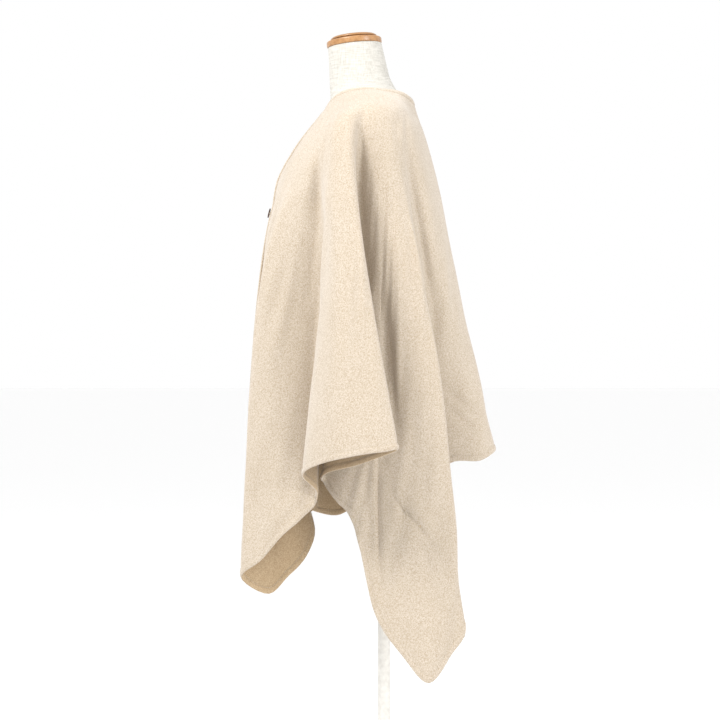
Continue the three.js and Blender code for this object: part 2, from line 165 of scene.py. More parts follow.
# %% Fold table in mm: name, top, upper, middle, hem
FOLD_TABLE = [
    ("left front edge", (-20, -216, 1215), (-20, -232), (-20, -250), (-20, -265, 800)),
    ("left front dip", (38, -216, 1216), (38, -229), (37, -241), (36, -246, 789)),
    ("left front ridge", (70, -213, 1217), (73, -231), (78, -247), (84, -253, 757)),
    ("left front return", (86, -209, 1219), (91, -224), (93, -236), (98, -220, 704)),
    ("left trough front wall", (93, -206, 1220), (97, -218), (97, -212), (89, -158, 622)),
    ("left trough back wall", (98, -204, 1221), (103, -214), (108, -205), (106, -137, 562)),
    ("left front inner face", (103, -202, 1223), (108, -216), (114, -221), (117, -158, 514)),
    ("left front inner edge", (108, -199, 1225), (112, -219), (118, -234), (127, -185, 487)),
    ("left front corner", (113, -196, 1227), (118, -225), (122, -245), (135, -224, 452)),
    ("left corner fold", (119, -192, 1230), (126, -231), (131, -259), (155, -277, 487)),
    ("left corner return", (127, -186, 1236), (136, -221), (143, -247), (170, -240, 518)),
    ("left front panel", (144, -168, 1254), (150, -187), (157, -203), (185, -197, 568)),
    ("left front fall", (164, -144, 1286), (162, -156), (156, -165), (181, -161, 599)),
    ("left front valley", (178, -122, 1316), (168, -128), (150, -132), (168, -132, 629)),
    ("left sleeve root", (184, -114, 1328), (180, -116), (166, -121), (180, -131, 651)),
    ("left sleeve front", (190, -107, 1338), (204, -112), (220, -123), (240, -157, 688)),
    ("left sleeve face", (199, -93, 1356), (224, -102), (262, -101), (300, -115, 713)),
    ("left sleeve middle", (202, -79, 1364), (233, -83), (276, -69), (325, -53, 728)),
    ("left sleeve back", (202, -68, 1367), (236, -67), (283, -44), (325, 3, 736)),
    ("left sleeve turn", (199, -61, 1369), (229, -59), (275, -33), (314, 22, 739)),
    ("left sleeve inside", (196, -56, 1370), (217, -57), (258, -38), (296, 12, 732)),
    ("left sleeve return", (193, -51, 1370), (199, -60), (220, -57), (235, -49, 707)),
    ("left valley sleeve wall", (190, -46, 1370), (181, -60), (175, -84), (164, -121, 680)),
    ("left valley side wall", (188, -40, 1369), (171, -51), (158, -75), (150, -116, 663)),
    ("left side edge", (188, -33, 1369), (174, -41), (168, -48), (172, -94, 634)),
    ("left side corner", (187, -26, 1367), (178, -31), (179, -28), (185, -69, 608)),
    ("left side fall", (186, -18, 1365), (183, -17), (189, -13), (195, -49, 546)),
    ("left side crease", (184, -9, 1361), (185, -4), (190, 2), (193, -17, 413)),
    ("left corner side", (182, -1, 1357), (187, 7), (198, 22), (203, 29, 346)),
    ("left back corner", (180, 6, 1352), (186, 18), (198, 49), (207, 82, 291)),
    ("left corner back", (177, 13, 1347), (182, 31), (193, 80), (188, 126, 340)),
    ("left back ridge", (172, 20, 1342), (174, 44), (184, 105), (172, 151, 385)),
    ("left back valley side wall", (162, 33, 1341), (154, 46), (140, 74), (108, 38, 520)),
    ("left back valley back wall", (154, 38, 1342), (144, 56), (130, 86), (94, 60, 606)),
    ("left back fall", (134, 52, 1349), (128, 78), (116, 118), (97, 127, 702)),
    ("left back panel", (84, 68, 1358), (86, 96), (88, 138), (84, 188, 707)),
    ("left back swell", (38, 74, 1363), (46, 104), (54, 148), (50, 218, 726)),
    ("back dip", (-4, 75, 1364), (-4, 95), (-6, 108), (-8, 114, 720)),
    ("right back swell", (-44, 74, 1363), (-50, 103), (-58, 146), (-60, 213, 724)),
    ("right back panel", (-88, 67, 1358), (-90, 94), (-92, 134), (-94, 186, 714)),
    ("right back fall", (-134, 52, 1349), (-127, 77), (-114, 114), (-103, 126, 700)),
    ("right back valley back wall", (-154, 38, 1342), (-144, 55), (-130, 85), (-95, 58, 606)),
    ("right back valley side wall", (-162, 33, 1341), (-154, 45), (-140, 72), (-110, 36, 530)),
    ("right back ridge", (-172, 20, 1342), (-175, 42), (-182, 100), (-175, 138, 400)),
    ("right corner back", (-177, 13, 1347), (-182, 29), (-191, 74), (-190, 112, 358)),
    ("right back corner", (-180, 6, 1352), (-185, 17), (-197, 46), (-205, 75, 312)),
    ("right corner side", (-182, -2, 1357), (-187, 5), (-197, 20), (-204, 34, 366)),
    ("right side crease", (-184, -11, 1361), (-186, -7), (-192, 2), (-197, -8, 440)),
    ("right side fall", (-186, -22, 1366), (-184, -22), (-186, -18), (-200, -48, 548)),
    ("right valley side wall", (-187, -34, 1369), (-177, -38), (-164, -50), (-164, -78, 642)),
    ("right valley sleeve wall", (-189, -44, 1370), (-181, -48), (-174, -64), (-176, -96, 650)),
    ("right sleeve inside", (-192, -52, 1369), (-205, -50), (-222, -52), (-242, -46, 644)),
    ("right sleeve back", (-195, -62, 1366), (-220, -59), (-250, -50), (-278, -32, 622)),
    ("right sleeve middle", (-196, -80, 1360), (-225, -84), (-260, -90), (-286, -90, 573)),
    ("right sleeve front", (-188, -104, 1338), (-203, -110), (-220, -130), (-240, -150, 585)),
    ("right front valley", (-180, -118, 1322), (-170, -124), (-154, -128), (-168, -140, 596)),
    ("right front panel", (-144, -168, 1254), (-149, -183), (-152, -196), (-180, -196, 545)),
    ("right corner fold", (-120, -192, 1230), (-127, -222), (-130, -246), (-152, -245, 484)),
    ("right front corner", (-111, -198, 1226), (-116, -217), (-116, -234), (-136, -212, 470)),
    ("right trough back wall", (-100, -204, 1222), (-105, -213), (-108, -206), (-106, -156, 584)),
    ("right trough front wall", (-93, -207, 1220), (-98, -218), (-97, -213), (-91, -172, 626)),
    ("right front return", (-86, -210, 1219), (-91, -225), (-92, -237), (-96, -226, 706)),
    ("right front ridge", (-70, -214, 1217), (-74, -233), (-78, -249), (-80, -257, 760)),
    ("right front dip", (-50, -218, 1216), (-50, -234), (-52, -250), (-54, -260, 784)),
    ("right front lap", (-32, -222, 1215), (-32, -237), (-32, -255), (-32, -270, 796)),
    ("right front edge", (20, -222, 1215), (20, -238), (20, -256), (20, -272, 801)),
]
ROWS = [row[0] for row in FOLD_TABLE]
LAST = len(FOLD_TABLE) - 1
KNIT = 2.6
CLEARANCE = 2.7
FRONT_RISE = 6
LAP_ROWS = 3
print(len(ROWS), "fold lines")

# %% [markdown]
# From fold lines to a fine grid
#
# First each fold line becomes a curve through its neck, shoulder, top, upper, middle and hem
# points. Then smooth curves run across all the lines. The grid is dense here, about 3 mm, and
# is thinned later to the spacing that each part of the cloth needs.

# %% Dense middle surface of the cloth
NECK_MIDDLE_Y, NECK_HALF_WIDTH, NECK_HALF_DEPTH = -28, 77, 85
NECK_HEIGHT, FRONT_DROP, BACK_DROP = 1436, 32, 14


def rise(rows):
    """How far the right front lies outside the left one, by place among the rows."""
    from_edge = LAST - np.arange(LAST + 1)
    step = np.where(from_edge < LAP_ROWS, FRONT_RISE * (1 - np.maximum(0, from_edge - 1) / LAP_ROWS), 0)
    return np.interp(rows, np.arange(LAST + 1), step)


def fold_knots():
    """Neck, shoulder, top, upper, middle and hem point of every fold line."""
    tops = np.array([row[1] for row in FOLD_TABLE], float)
    hems = np.array([row[4] for row in FOLD_TABLE], float)
    turn = np.arctan2(tops[:, 0], NECK_MIDDLE_Y - tops[:, 1])
    front = np.maximum(0, np.cos(turn)) ** 1.2
    back = np.maximum(0, -np.cos(turn)) ** 5
    necks = np.stack([
        NECK_HALF_WIDTH * np.sin(turn),
        NECK_MIDDLE_Y - NECK_HALF_DEPTH * np.cos(turn),
        NECK_HEIGHT - FRONT_DROP * front - BACK_DROP * back,
    ], axis=-1)
    away = KNIT / 2 + CLEARANCE + rise(np.arange(LAST + 1))
    necks = settle(necks, away)
    tops = settle(tops, away)
    shoulders = settle(necks + 0.55 * (tops - necks), away, np.sin(turn) ** 2)
    middle_z = (tops[:, 2] + hems[:, 2]) / 2
    upper_z = tops[:, 2] + (middle_z - tops[:, 2]) / 3
    uppers = np.column_stack([np.array([row[2] for row in FOLD_TABLE], float), upper_z])
    middles = np.column_stack([np.array([row[3] for row in FOLD_TABLE], float), middle_z])
    return np.stack([necks, shoulders, tops, uppers, middles, hems], axis=1)


def column_places(step, edge):
    """Places among the rows: even along the hem, and closer beside the two front edges."""
    hems = np.array([row[4] for row in FOLD_TABLE], float)
    widths = np.linalg.norm(np.diff(hems, axis=0), axis=1)
    places = []
    for row, width in enumerate(widths):
        steps = max(4, round(width / step))
        places += [row + k / steps for k in range(steps)]
    places = np.array(places + [LAST])
    left, right = edge / widths[0], LAST - edge[::-1] / widths[-1]
    inside = places[(places > left[-1] + 0.03) & (places < right[0] - 0.03)]
    return np.concatenate([left, inside, right])


EDGE_STEPS = np.array([0, 0.5, 1.2, 2.1, 3.6, 5.8, 8.0, 9.6, 11.0, 12.4, 14.0, 16.5])
columns = column_places(10.5, EDGE_STEPS)
DENSE = 360
lines = curve_points(fold_knots(), np.linspace(0, 1, DENSE))
dense = curve_points(lines.transpose(1, 0, 2), columns / LAST)
dense = settle(dense, KNIT / 2 + CLEARANCE + rise(columns))
hem_length = np.linalg.norm(np.diff(dense[-1], axis=0), axis=1).sum()
print("dense grid", dense.shape, "hem", round(hem_length / 1000, 2), "m")

# %% [markdown]
# Rings that follow the edges
#
# The real hem is turned in and stitched about 11 mm from the edge, all the way round. Rings
# of the mesh must run alongside the hem there, also where the hem runs steeply down to a
# corner. So each column is measured from its own end, in steps that grow where the hem
# crosses it at a slant.

# %% Resample each column by length
def smooth_along(values, passes):
    for _ in range(passes):
        values = np.convolve(np.pad(values, 1, mode="edge"), [0.25, 0.5, 0.25], mode="valid")
    return values


def slant(edge, next_ring):
    """Sine of the angle between an edge and the columns that reach it."""
    along = np.gradient(edge, axis=0)
    down = next_ring - edge
    across = np.linalg.norm(np.cross(along, down), axis=1)
    sine = across / (np.linalg.norm(along, axis=1) * np.linalg.norm(down, axis=1))
    return np.clip(smooth_along(sine, 6), 0.3, 1)


lengths = np.concatenate([np.zeros((1, len(columns))),
                          np.cumsum(np.linalg.norm(np.diff(dense, axis=0), axis=2), axis=0)])
whole = lengths[-1]
hem_slant = slant(dense[-1], dense[-6])
neck_slant = slant(dense[0], dense[5])
INNER_RINGS = 98
near = EDGE_STEPS[:, None] / neck_slant
far = whole - EDGE_STEPS[::-1, None] / hem_slant
share = np.linspace(0, 1, INNER_RINGS + 2)[1:-1, None]
stations = np.concatenate([near, near[-1] + share * (far[0] - near[-1]), far])
grid = np.empty((len(stations), len(columns), 3))
for j in range(len(columns)):
    for axis in range(3):
        grid[:, j, axis] = np.interp(stations[:, j], lengths[:, j], dense[:, j, axis])
RINGS, COLUMNS = grid.shape[:2]
print("grid", RINGS, "rings by", COLUMNS, "columns; front fall", round(whole[0]), "mm")

# %% [markdown]
# Creases and unevenness
#
# A thick knit shows soft hollows where it was folded and where it hangs unevenly. Each crease
# is placed as a path with a width and a depth, a hollow if the depth is negative, and it fades
# at both ends. The paths are seen from the side (y, z) or from the front (x, z), and hold only
# between two named fold lines.

# %% Crease table in mm: first and last line, view, path, width, depth
CREASES = [
    ("left front ridge", "left front return", "yz", [(-206, 1130), (-226, 960), (-236, 820)], 14, -2.6),
    ("left front return", "left front fall", "yz", [(-228, 1000), (-216, 850), (-226, 700)], 16, 1.8),
    ("left corner fold", "left front valley", "yz", [(-236, 548), (-200, 586), (-156, 634)], 9, -5.0),
    ("left front panel", "left front fall", "yz", [(-150, 1180), (-158, 1000), (-168, 820)], 20, -2.8),
    ("left front fall", "left sleeve front", "yz", [(-133, 1330), (-130, 1260), (-128, 1150)], 8, -7.0),
    ("left front valley", "left sleeve face", "yz", [(-121, 1330), (-117, 1262), (-111, 1180)], 7, 4.0),
    ("left valley side wall", "left side fall", "yz",
     [(-54, 1350), (-50, 1250), (-45, 1140), (-36, 1030)], 11, -8.0),
    ("left side corner", "left corner side", "yz",
     [(-14, 1060), (0, 960), (14, 860), (26, 750)], 13, -10.0),
    ("left back ridge", "left back fall", "yz",
     [(36, 1340), (48, 1280), (74, 1130), (100, 960)], 8, -7.0),
    ("left corner back", "left back valley side wall", "yz",
     [(22, 1340), (34, 1280), (56, 1130), (84, 960)], 6, 3.4),
    ("left sleeve front", "left sleeve face", "yz",
     [(-118, 1200), (-112, 1060), (-118, 880)], 15, -2.2),
    ("left sleeve face", "left sleeve middle", "yz", [(-84, 1230), (-92, 1040), (-98, 800)], 22, 1.8),
    ("left side corner", "left back corner", "yz", [(-14, 744), (-12, 620), (-10, 450)], 4.5, -6.0),
    ("left side corner", "left corner side", "yz", [(-36, 740), (-34, 640), (-26, 500)], 13, -7.0),
    ("left side fall", "left back ridge", "yz",
     [(10, 660), (27, 628), (50, 604), (72, 580), (94, 548), (112, 512)], 5, -7.0),
    ("left side fall", "left back ridge", "yz", [(34, 660), (62, 624), (92, 578)], 9, 4.0),
    ("left side fall", "left back ridge", "yz", [(58, 570), (80, 532), (98, 480)], 5, -4.6),
    ("left side corner", "left corner side", "yz", [(6, 1210), (14, 1080), (34, 900)], 18, -2.4),
    ("left back ridge", "left back valley side wall", "yz",
     [(92, 1090), (118, 950), (150, 800)], 15, 2.4),
    ("left back fall", "back dip", "yz", [(108, 852), (136, 832), (164, 812), (196, 788)], 6, -6.0),
    ("left back fall", "back dip", "yz", [(116, 818), (144, 794), (176, 762)], 7, -4.6),
    ("left back fall", "back dip", "xz", [(60, 1240), (66, 1040), (58, 870)], 20, -2.4),
    ("left back swell", "right back panel", "xz", [(34, 1150), (10, 1000), (-28, 860)], 18, -2.4),
    ("back dip", "right back fall", "xz", [(-80, 1200), (-92, 1010), (-84, 830)], 22, -2.8),
    ("back dip", "right back fall", "xz", [(-50, 900), (-78, 820), (-92, 760)], 14, -3.4),
    ("right back valley side wall", "right back corner", "yz",
     [(80, 1080), (112, 900), (132, 760)], 15, -2.8),
    ("right corner back", "right side fall", "yz", [(30, 1120), (40, 900), (30, 660)], 16, -2.8),
    ("right corner back", "right side fall", "yz", [(96, 500), (58, 580), (30, 650)], 13, -4.4),
    ("right side crease", "right valley side wall", "yz",
     [(-24, 1060), (-22, 880), (-34, 720)], 14, -2.8),
    ("right sleeve back", "right sleeve front", "yz",
     [(-84, 1230), (-98, 1000), (-112, 760)], 20, -2.6),
    ("right sleeve middle", "right front valley", "yz",
     [(-124, 1316), (-118, 1256), (-110, 1190)], 7, -3.2),
    ("right front valley", "right corner fold", "yz",
     [(-158, 1140), (-186, 900), (-206, 660)], 18, -2.8),
    ("right front return", "right front lap", "xz", [(-62, 1130), (-66, 980), (-60, 860)], 16, -2.2),
]


def grid_normals(points):
    """Unit normals of a grid, away from the wearer."""
    normals = np.cross(np.gradient(points, axis=0), np.gradient(points, axis=1))
    return normals / np.linalg.norm(normals, axis=2, keepdims=True)


def distance_to_path(flat, path):
    """Distance of flat points from a path, and how far along it they lie."""
    best = np.full(flat.shape[:2], np.inf)
    along = np.zeros(flat.shape[:2])
    for k in range(len(path) - 1):
        start, leg = path[k], path[k + 1] - path[k]
        t = ((flat - start) @ leg) / (leg @ leg)
        clamped = np.clip(t, 0, 1)
        away = np.linalg.norm(flat - start - clamped[..., None] * leg, axis=-1)
        closer = away < best
        best = np.where(closer, away, best)
        along = np.where(closer, (k + clamped) / (len(path) - 1), along)
    return best, along


rng = np.random.default_rng(7)
LAP_CLOSER = 2.8
creases = np.zeros((RINGS, COLUMNS))
for first, last, view, path, width, depth in CREASES:
    path = curve_points(np.array(path, float), np.linspace(0, 1, 9))
    flat = grid[..., [1, 2]] if view == "yz" else grid[..., [0, 2]]
    away, along = distance_to_path(flat, path)
    fade = np.sin(np.pi * np.clip(along, 0.02, 0.98)) ** 0.6
    inside = smooth_along(((columns >= ROWS.index(first)) & (columns <= ROWS.index(last))).astype(float), 8)
    creases += depth * np.exp(-((away / width) ** 2)) * fade * inside
length_here = np.minimum(stations, whole)
round_here = np.interp(columns, np.arange(LAST + 1), np.linspace(0, hem_length, LAST + 1))
waves = np.zeros((RINGS, COLUMNS))
for _ in range(14):
    wave, down, turn = rng.uniform(60, 170), rng.uniform(90, 300), rng.uniform(0, 2 * math.pi)
    sideways = rng.uniform(-0.5, 0.5) * length_here / down
    waves += 0.32 * np.sin(2 * math.pi * (round_here / wave + length_here / down + sideways) + turn)
lap = smooth_along(np.clip((columns - (LAST - LAP_ROWS)) / 0.6, 0, 1), 3)
from_front = np.minimum(columns, LAST - columns)
loose = np.clip((length_here - 190) / 260, 0, 1) * np.clip(from_front / 2.5, 0.15, 1)
# a crease fades where fold lines run together, as the cloth is too tight there to dent
spread = np.linalg.norm(np.gradient(grid, axis=1), axis=2)
spread = np.stack([smooth_along(line, 10) for line in spread])
room = np.clip((spread - 0.9) / 1.6, 0, 1) * np.clip((length_here - 110) / 160, 0, 1)
shift = creases * room + waves * loose - LAP_CLOSER * lap
off_form = KNIT / 2 + CLEARANCE + rise(columns) - LAP_CLOSER * lap
surface = settle(grid + grid_normals(grid) * shift[..., None], off_form)
print("creases move the cloth by up to", round(float(np.abs(shift).max()), 1), "mm")

# %% [markdown]
# The wall and its turned edges
#
# The knit is 2.6 mm thick. Along every edge it is turned in, which makes a fuller, rounded
# band, and the stitch line sinks into it 11 mm from the edge. Half the thickness at each
# point follows from its distance to the nearest edge.

# %% Thickness by distance from the edge
BAND = 11.0
ROLL = 2.1


def half_thickness(edge):
    nose = ROLL * np.sqrt(np.clip(1 - (1 - np.clip(edge / ROLL, 0, 1)) ** 2, 0, 1))
    puff = 0.5 * np.sin(np.pi * np.clip((edge - ROLL) / (BAND - ROLL), 0, 1))
    flat_wall = KNIT / 2 + (ROLL - KNIT / 2) * np.clip((BAND + 1.4 - edge) / 1.6, 0, 1)
    groove = 0.8 * np.exp(-(((edge - BAND) / 1.5) ** 2))
    return np.minimum(nose, flat_wall) + puff - groove


down_first = np.linalg.norm(grid - grid[:, :1], axis=2)
down_last = np.linalg.norm(grid - grid[:, -1:], axis=2)
from_neck = stations * neck_slant
from_hem = (whole - stations) * hem_slant
edge_distance = np.minimum.reduce([from_neck, from_hem, down_first, down_last])
half = half_thickness(edge_distance)
normals = grid_normals(surface)
outer = surface + normals * half[..., None]
inner = surface - normals * half[..., None]
thinnest, thickest = 2 * float(half[half > 0.5].min()), 2 * float(half.max())
print("thickness from", round(thinnest, 2), "to", round(thickest, 2), "mm")

# %% [markdown]
# Meshes from numbers
#
# Every piece is a mesh made from lists of points and faces. One helper makes it, smooths it
# and lets it ride on the body, and the wall of the cloth is the first piece made with it. The
# two faces of the wall meet at the very edge.

# %% Helper that makes a piece
SCENE = bpy.context.scene


def make_piece(name, points, faces, slot, sharp=None):
    mesh = bpy.data.meshes.new(name)
    mesh.from_pydata(np.asarray(points).reshape(-1, 3) * MM, [], [tuple(f) for f in faces])
    mesh.validate()
    mesh.polygons.foreach_set("use_smooth", [True] * len(mesh.polygons))
    if sharp is not None:
        mesh.set_sharp_from_angle(angle=math.radians(sharp))
    piece = bpy.data.objects.new(name, mesh)
    SCENE.collection.objects.link(piece)
    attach(piece, "root")
    triangles = sum(len(p.vertices) - 2 for p in mesh.polygons)
    print(name, triangles, "triangles")
    return piece


def grid_faces(rings, columns, start=0, flip=False):
    i, j = np.meshgrid(np.arange(rings - 1), np.arange(columns - 1), indexing="ij")
    a = start + i * columns + j
    quads = np.stack([a, a + columns, a + columns + 1, a + 1], axis=-1).reshape(-1, 4)
    return quads[:, ::-1] if flip else quads


# %% The poncho panel
def closed_wall(outer, inner):
    """Two grids sewn together along their common border."""
    rings, columns = outer.shape[:2]
    points = np.concatenate([outer.reshape(-1, 3), inner.reshape(-1, 3)])
    same = np.arange(len(points))
    border = np.zeros((rings, columns), bool)
    border[[0, -1], :] = True
    border[:, [0, -1]] = True
    index = np.flatnonzero(border)
    points[index] = (points[index] + points[index + rings * columns]) / 2
    same[index + rings * columns] = index
    faces = np.concatenate([grid_faces(rings, columns), grid_faces(rings, columns, rings * columns, True)])
    faces = same[faces]
    used, compact = np.unique(faces, return_inverse=True)
    return points[used], compact.reshape(faces.shape), used


points, faces, used = closed_wall(outer, inner)
poncho = make_piece("poncho_cloth", points, faces, "knit")
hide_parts("poncho_panel")

# %% [markdown]
# Stitches along the edges
#
# A sewing machine leaves a row of short, even stitches, half sunk into the knit. They follow
# the same rings as the groove. Each stitch is a short capsule with five sides, on the outer
# face and again on the inner face.

# %% Rows of stitches
def walk(path, pitch):
    """Points every pitch along a path, with the direction there."""
    steps = np.linalg.norm(np.diff(path, axis=0), axis=1)
    length = np.concatenate([[0], np.cumsum(steps)])
    at = np.arange(pitch / 2, length[-1] - pitch / 2, pitch)
    return np.stack([np.interp(at, length, path[:, k]) for k in range(3)], axis=-1), at, length


def stitch_row(path, normals, pitch=4.2, length=3.0, thick=0.42, sides=5):
    centres, at, whole_length = walk(path, pitch)
    up = np.stack([np.interp(at, whole_length, normals[:, k]) for k in range(3)], axis=-1)
    ahead = np.gradient(centres, axis=0)
    ahead /= np.linalg.norm(ahead, axis=1, keepdims=True)
    up -= ahead * np.sum(up * ahead, axis=1, keepdims=True)
    up /= np.linalg.norm(up, axis=1, keepdims=True)
    side = np.cross(ahead, up)
    turn = 2 * math.pi * np.arange(sides) / sides
    rings = []
    for along, radius in ((-0.5, 0.35), (-0.28, 1.0), (0.28, 1.0), (0.5, 0.35)):
        ring = centres[:, None] + ahead[:, None] * along * length - up[:, None] * (0.12 * (radius < 1))
        for axis, wave in ((side, np.cos(turn)), (up, np.sin(turn))):
            ring = ring + axis[:, None] * (wave * radius * thick)[None, :, None]
        rings.append(ring)
    points = np.stack(rings, axis=1).reshape(-1, 3)
    faces = []
    for k in range(len(centres)):
        base = k * 4 * sides
        for r in range(3):
            for s in range(sides):
                a, b = base + r * sides + s, base + r * sides + (s + 1) % sides
                faces.append((a, b, b + sides, a + sides))
        faces.append(tuple(base + s for s in reversed(range(sides))))
        faces.append(tuple(base + 3 * sides + s for s in range(sides)))
    return points, faces


def join_parts(parts):
    points, faces, start = [], [], 0
    for part_points, part_faces in parts:
        points.append(np.asarray(part_points))
        faces += [tuple(int(k) + start for k in face) for face in part_faces]
        start += len(part_points)
    return np.concatenate(points), faces


def seam_paths(face, sign):
    """The stitch lines of one face: neck, hem and the two front edges."""
    ring = int(np.flatnonzero(EDGE_STEPS == BAND)[0])
    clear = slice(ring, COLUMNS - ring)
    tall = slice(ring, RINGS - ring)
    lift = sign * normals * 0.1
    lines = [(ring, clear), (RINGS - 1 - ring, clear), (tall, ring), (tall, COLUMNS - 1 - ring)]
    return [((face + lift)[line], (sign * normals)[line]) for line in lines]


rows = seam_paths(outer, 1) + seam_paths(inner, -1)
stitching = make_piece("edge_stitches", *join_parts([stitch_row(*row) for row in rows]), "knit")

# %% [markdown]
# The button and its buttonhole
#
# The button is turned from dark horn: a raised rim, a dished middle and four holes. It could
# be cut with a boolean, but a few rings of points give the same face with cleaner shading. It
# stands where the solid button stands, square to the cloth.

# %% Turned shapes
def turned(profile, sides):
    """A closed shape from radius and height pairs that start and end on the axis."""
    profile = np.array(profile, float)
    turn = 2 * math.pi * np.arange(sides) / sides
    inner_rows = profile[1:-1]
    ring = inner_rows[:, None, :1] * np.stack([np.cos(turn), np.sin(turn)], axis=-1)[None]
    height = np.broadcast_to(inner_rows[:, None, 1:], ring.shape[:2] + (1,))
    points = np.concatenate([ring, height], axis=-1).reshape(-1, 3)
    points = np.concatenate([points, [[0, 0, profile[0, 1]], [0, 0, profile[-1, 1]]]])
    faces = []
    for r in range(len(inner_rows) - 1):
        for s in range(sides):
            a, b = r * sides + s, r * sides + (s + 1) % sides
            faces.append((a, b, b + sides, a + sides))
    low, high, top = len(points) - 2, len(points) - 1, (len(inner_rows) - 1) * sides
    for s in range(sides):
        faces.append((low, (s + 1) % sides, s))
        faces.append((high, top + s, top + (s + 1) % sides))
    return points, faces


def rounded(corners, radius, steps=4):
    """The profile with each inner corner replaced by a small arc."""
    corners = np.array(corners, float)
    profile = [corners[0]]
    for before, corner, after in zip(corners[:-2], corners[1:-1], corners[2:]):
        reach = min(radius, np.linalg.norm(before - corner) * 0.45, np.linalg.norm(after - corner) * 0.45)
        start = corner + (before - corner) / np.linalg.norm(before - corner) * reach
        end = corner + (after - corner) / np.linalg.norm(after - corner) * reach
        for k in range(steps + 1):
            t = k / steps
            profile.append((1 - t) ** 2 * start + 2 * t * (1 - t) * corner + t**2 * end)
    return profile + [corners[-1]]


def stand_on(points, seat, direction):
    """Turn points from +Z to a direction and move them to a seat."""
    turn = Vector((0, 0, 1)).rotation_difference(Vector(direction)).to_matrix()
    return np.asarray(points) @ np.array(turn).T + seat


# %% Button with four holes, its thread and the buttonhole
low_corner, high_corner = (np.array(corner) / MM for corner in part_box("front_button"))
middle = (low_corner + high_corner) / 2
lap = columns > LAST - LAP_ROWS
offsets = outer[:, lap] - middle
best = np.unravel_index(np.argmin(np.sum(offsets**2, axis=2)), offsets.shape[:2])
facing = normals[:, lap][best]
BUTTON_THICKNESS, HOLE_OFFSET = 2.6, 1.3
seat = middle - facing * (BUTTON_THICKNESS / 2)
RIM = [(0, 0), (7.4, 0), (9.6, 0.5), (10, 1.4), (9.5, 2.3), (8.4, 2.6), (7.2, 2.3), (6.2, 1.75), (0, 1.55)]
HOLES = [(x * HOLE_OFFSET, y * HOLE_OFFSET) for x in (-1, 1) for y in (-1, 1)]
button_points, button_faces = turned(rounded(RIM, 0.6), 64)
button = make_piece("horn_button", stand_on(button_points, seat, facing), button_faces, "horn", 40)
drill_parts = [turned([(0, -1), (0.95, -1), (0.95, 4), (0, 4)], 16) for _ in HOLES]
drill_parts = [
    (stand_on(points + [x, y, 0], seat, facing), faces)
    for (points, faces), (x, y) in zip(drill_parts, HOLES)
]
drill_points, drill_faces = join_parts(drill_parts)
drill_mesh = bpy.data.meshes.new("drill")
drill_mesh.from_pydata(drill_points * MM, [], drill_faces)
drill = bpy.data.objects.new("drill", drill_mesh)
SCENE.collection.objects.link(drill)
cut = button.modifiers.new("holes", "BOOLEAN")
cut.operation, cut.object, cut.solver = "DIFFERENCE", drill, "EXACT"
bpy.context.view_layer.update()
pierced = bpy.data.meshes.new_from_object(button.evaluated_get(bpy.context.evaluated_depsgraph_get()))
button.modifiers.clear()
button.data = pierced
bpy.data.objects.remove(drill)
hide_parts("front_button")


def tube(path, radius, sides=8):
    """A closed tube of mesh round a path of points."""
    path = np.array(path, float)
    ahead = np.gradient(path, axis=0)
    ahead /= np.linalg.norm(ahead, axis=1, keepdims=True)
    side = np.cross(ahead, [0.31, 0.52, 0.79])
    side /= np.linalg.norm(side, axis=1, keepdims=True)
    up = np.cross(ahead, side)
    turn = 2 * math.pi * np.arange(sides) / sides
    points = path[:, None] + radius * (
        side[:, None] * np.cos(turn)[None, :, None] + up[:, None] * np.sin(turn)[None, :, None])
    faces = [tuple(face) for face in grid_faces(len(path), sides)]
    for r in range(len(path) - 1):
        faces.append((r * sides + sides - 1, (r + 1) * sides + sides - 1, (r + 1) * sides, r * sides))
    faces.append(tuple(range(sides)))
    faces.append(tuple((len(path) - 1) * sides + s for s in reversed(range(sides))))
    return points.reshape(-1, 3), faces


threads = []
for y in (-HOLE_OFFSET, HOLE_OFFSET):
    for spread in (-0.32, 0.32):
        line = y + spread
        arch = [(-1.3, line, -0.8), (-1.3, line, 1.6), (-0.8, line, 2.15), (0, line, 2.25),
                (0.8, line, 2.15), (1.3, line, 1.6), (1.3, line, -0.8)]
        smooth = curve_points(np.array(arch, float), np.linspace(0, 1, 22))
        threads.append(tube(stand_on(smooth, seat, facing), 0.3))
thread = make_piece("button_thread", *join_parts(threads), "horn")

hole_middle = seat - facing * 0.6
across = np.cross(facing, [0, 0, 1.0])
across /= np.linalg.norm(across)
upward = np.cross(across, facing)
WRAPS, HOLE_LENGTH = 30, 25
wraps = []
for side in (-1, 1):
    outward = upward * side
    for k in range(WRAPS):
        along = (k / (WRAPS - 1) - 0.5) * HOLE_LENGTH
        start = hole_middle + across * along + outward * 0.35
        bend = [start, start + facing * 0.55 + outward * 0.5,
                start + facing * 0.35 + outward * 1.7, start - facing * 0.5 + outward * 2.0]
        wraps.append(tube(curve_points(np.array(bend), np.linspace(0, 1, 7)), 0.34, 6))
buttonhole = make_piece("buttonhole_stitches", *join_parts(wraps), "knit")

# %% [markdown]
# The dress form
#
# The form is a padded body covered in linen, with a seam round the foot of the neck. The
# solid is coarse, so the same half sections are drawn again with more rings and sides. A
# seam is a narrow groove between two soft ridges, which follows the slope of the neck.

# %% Form in fine rings, with the neck seam
FORM_SIDES, FORM_RINGS = 96, 190
TILT = math.radians(5.8)
CAP_MIDDLE_Y = -59
SLOPE_FROM, SEAM_LEVEL = 1470, 1459
heights = np.linspace(FORM_LOW, FORM_HIGH, FORM_RINGS)
turn = 2 * math.pi * np.arange(FORM_SIDES) / FORM_SIDES
middle_y, depth, half_width, power = (column[:, None] for column in form_section(heights))


def oval(wave, power):
    return np.sign(wave) * np.abs(wave) ** (2 / power)


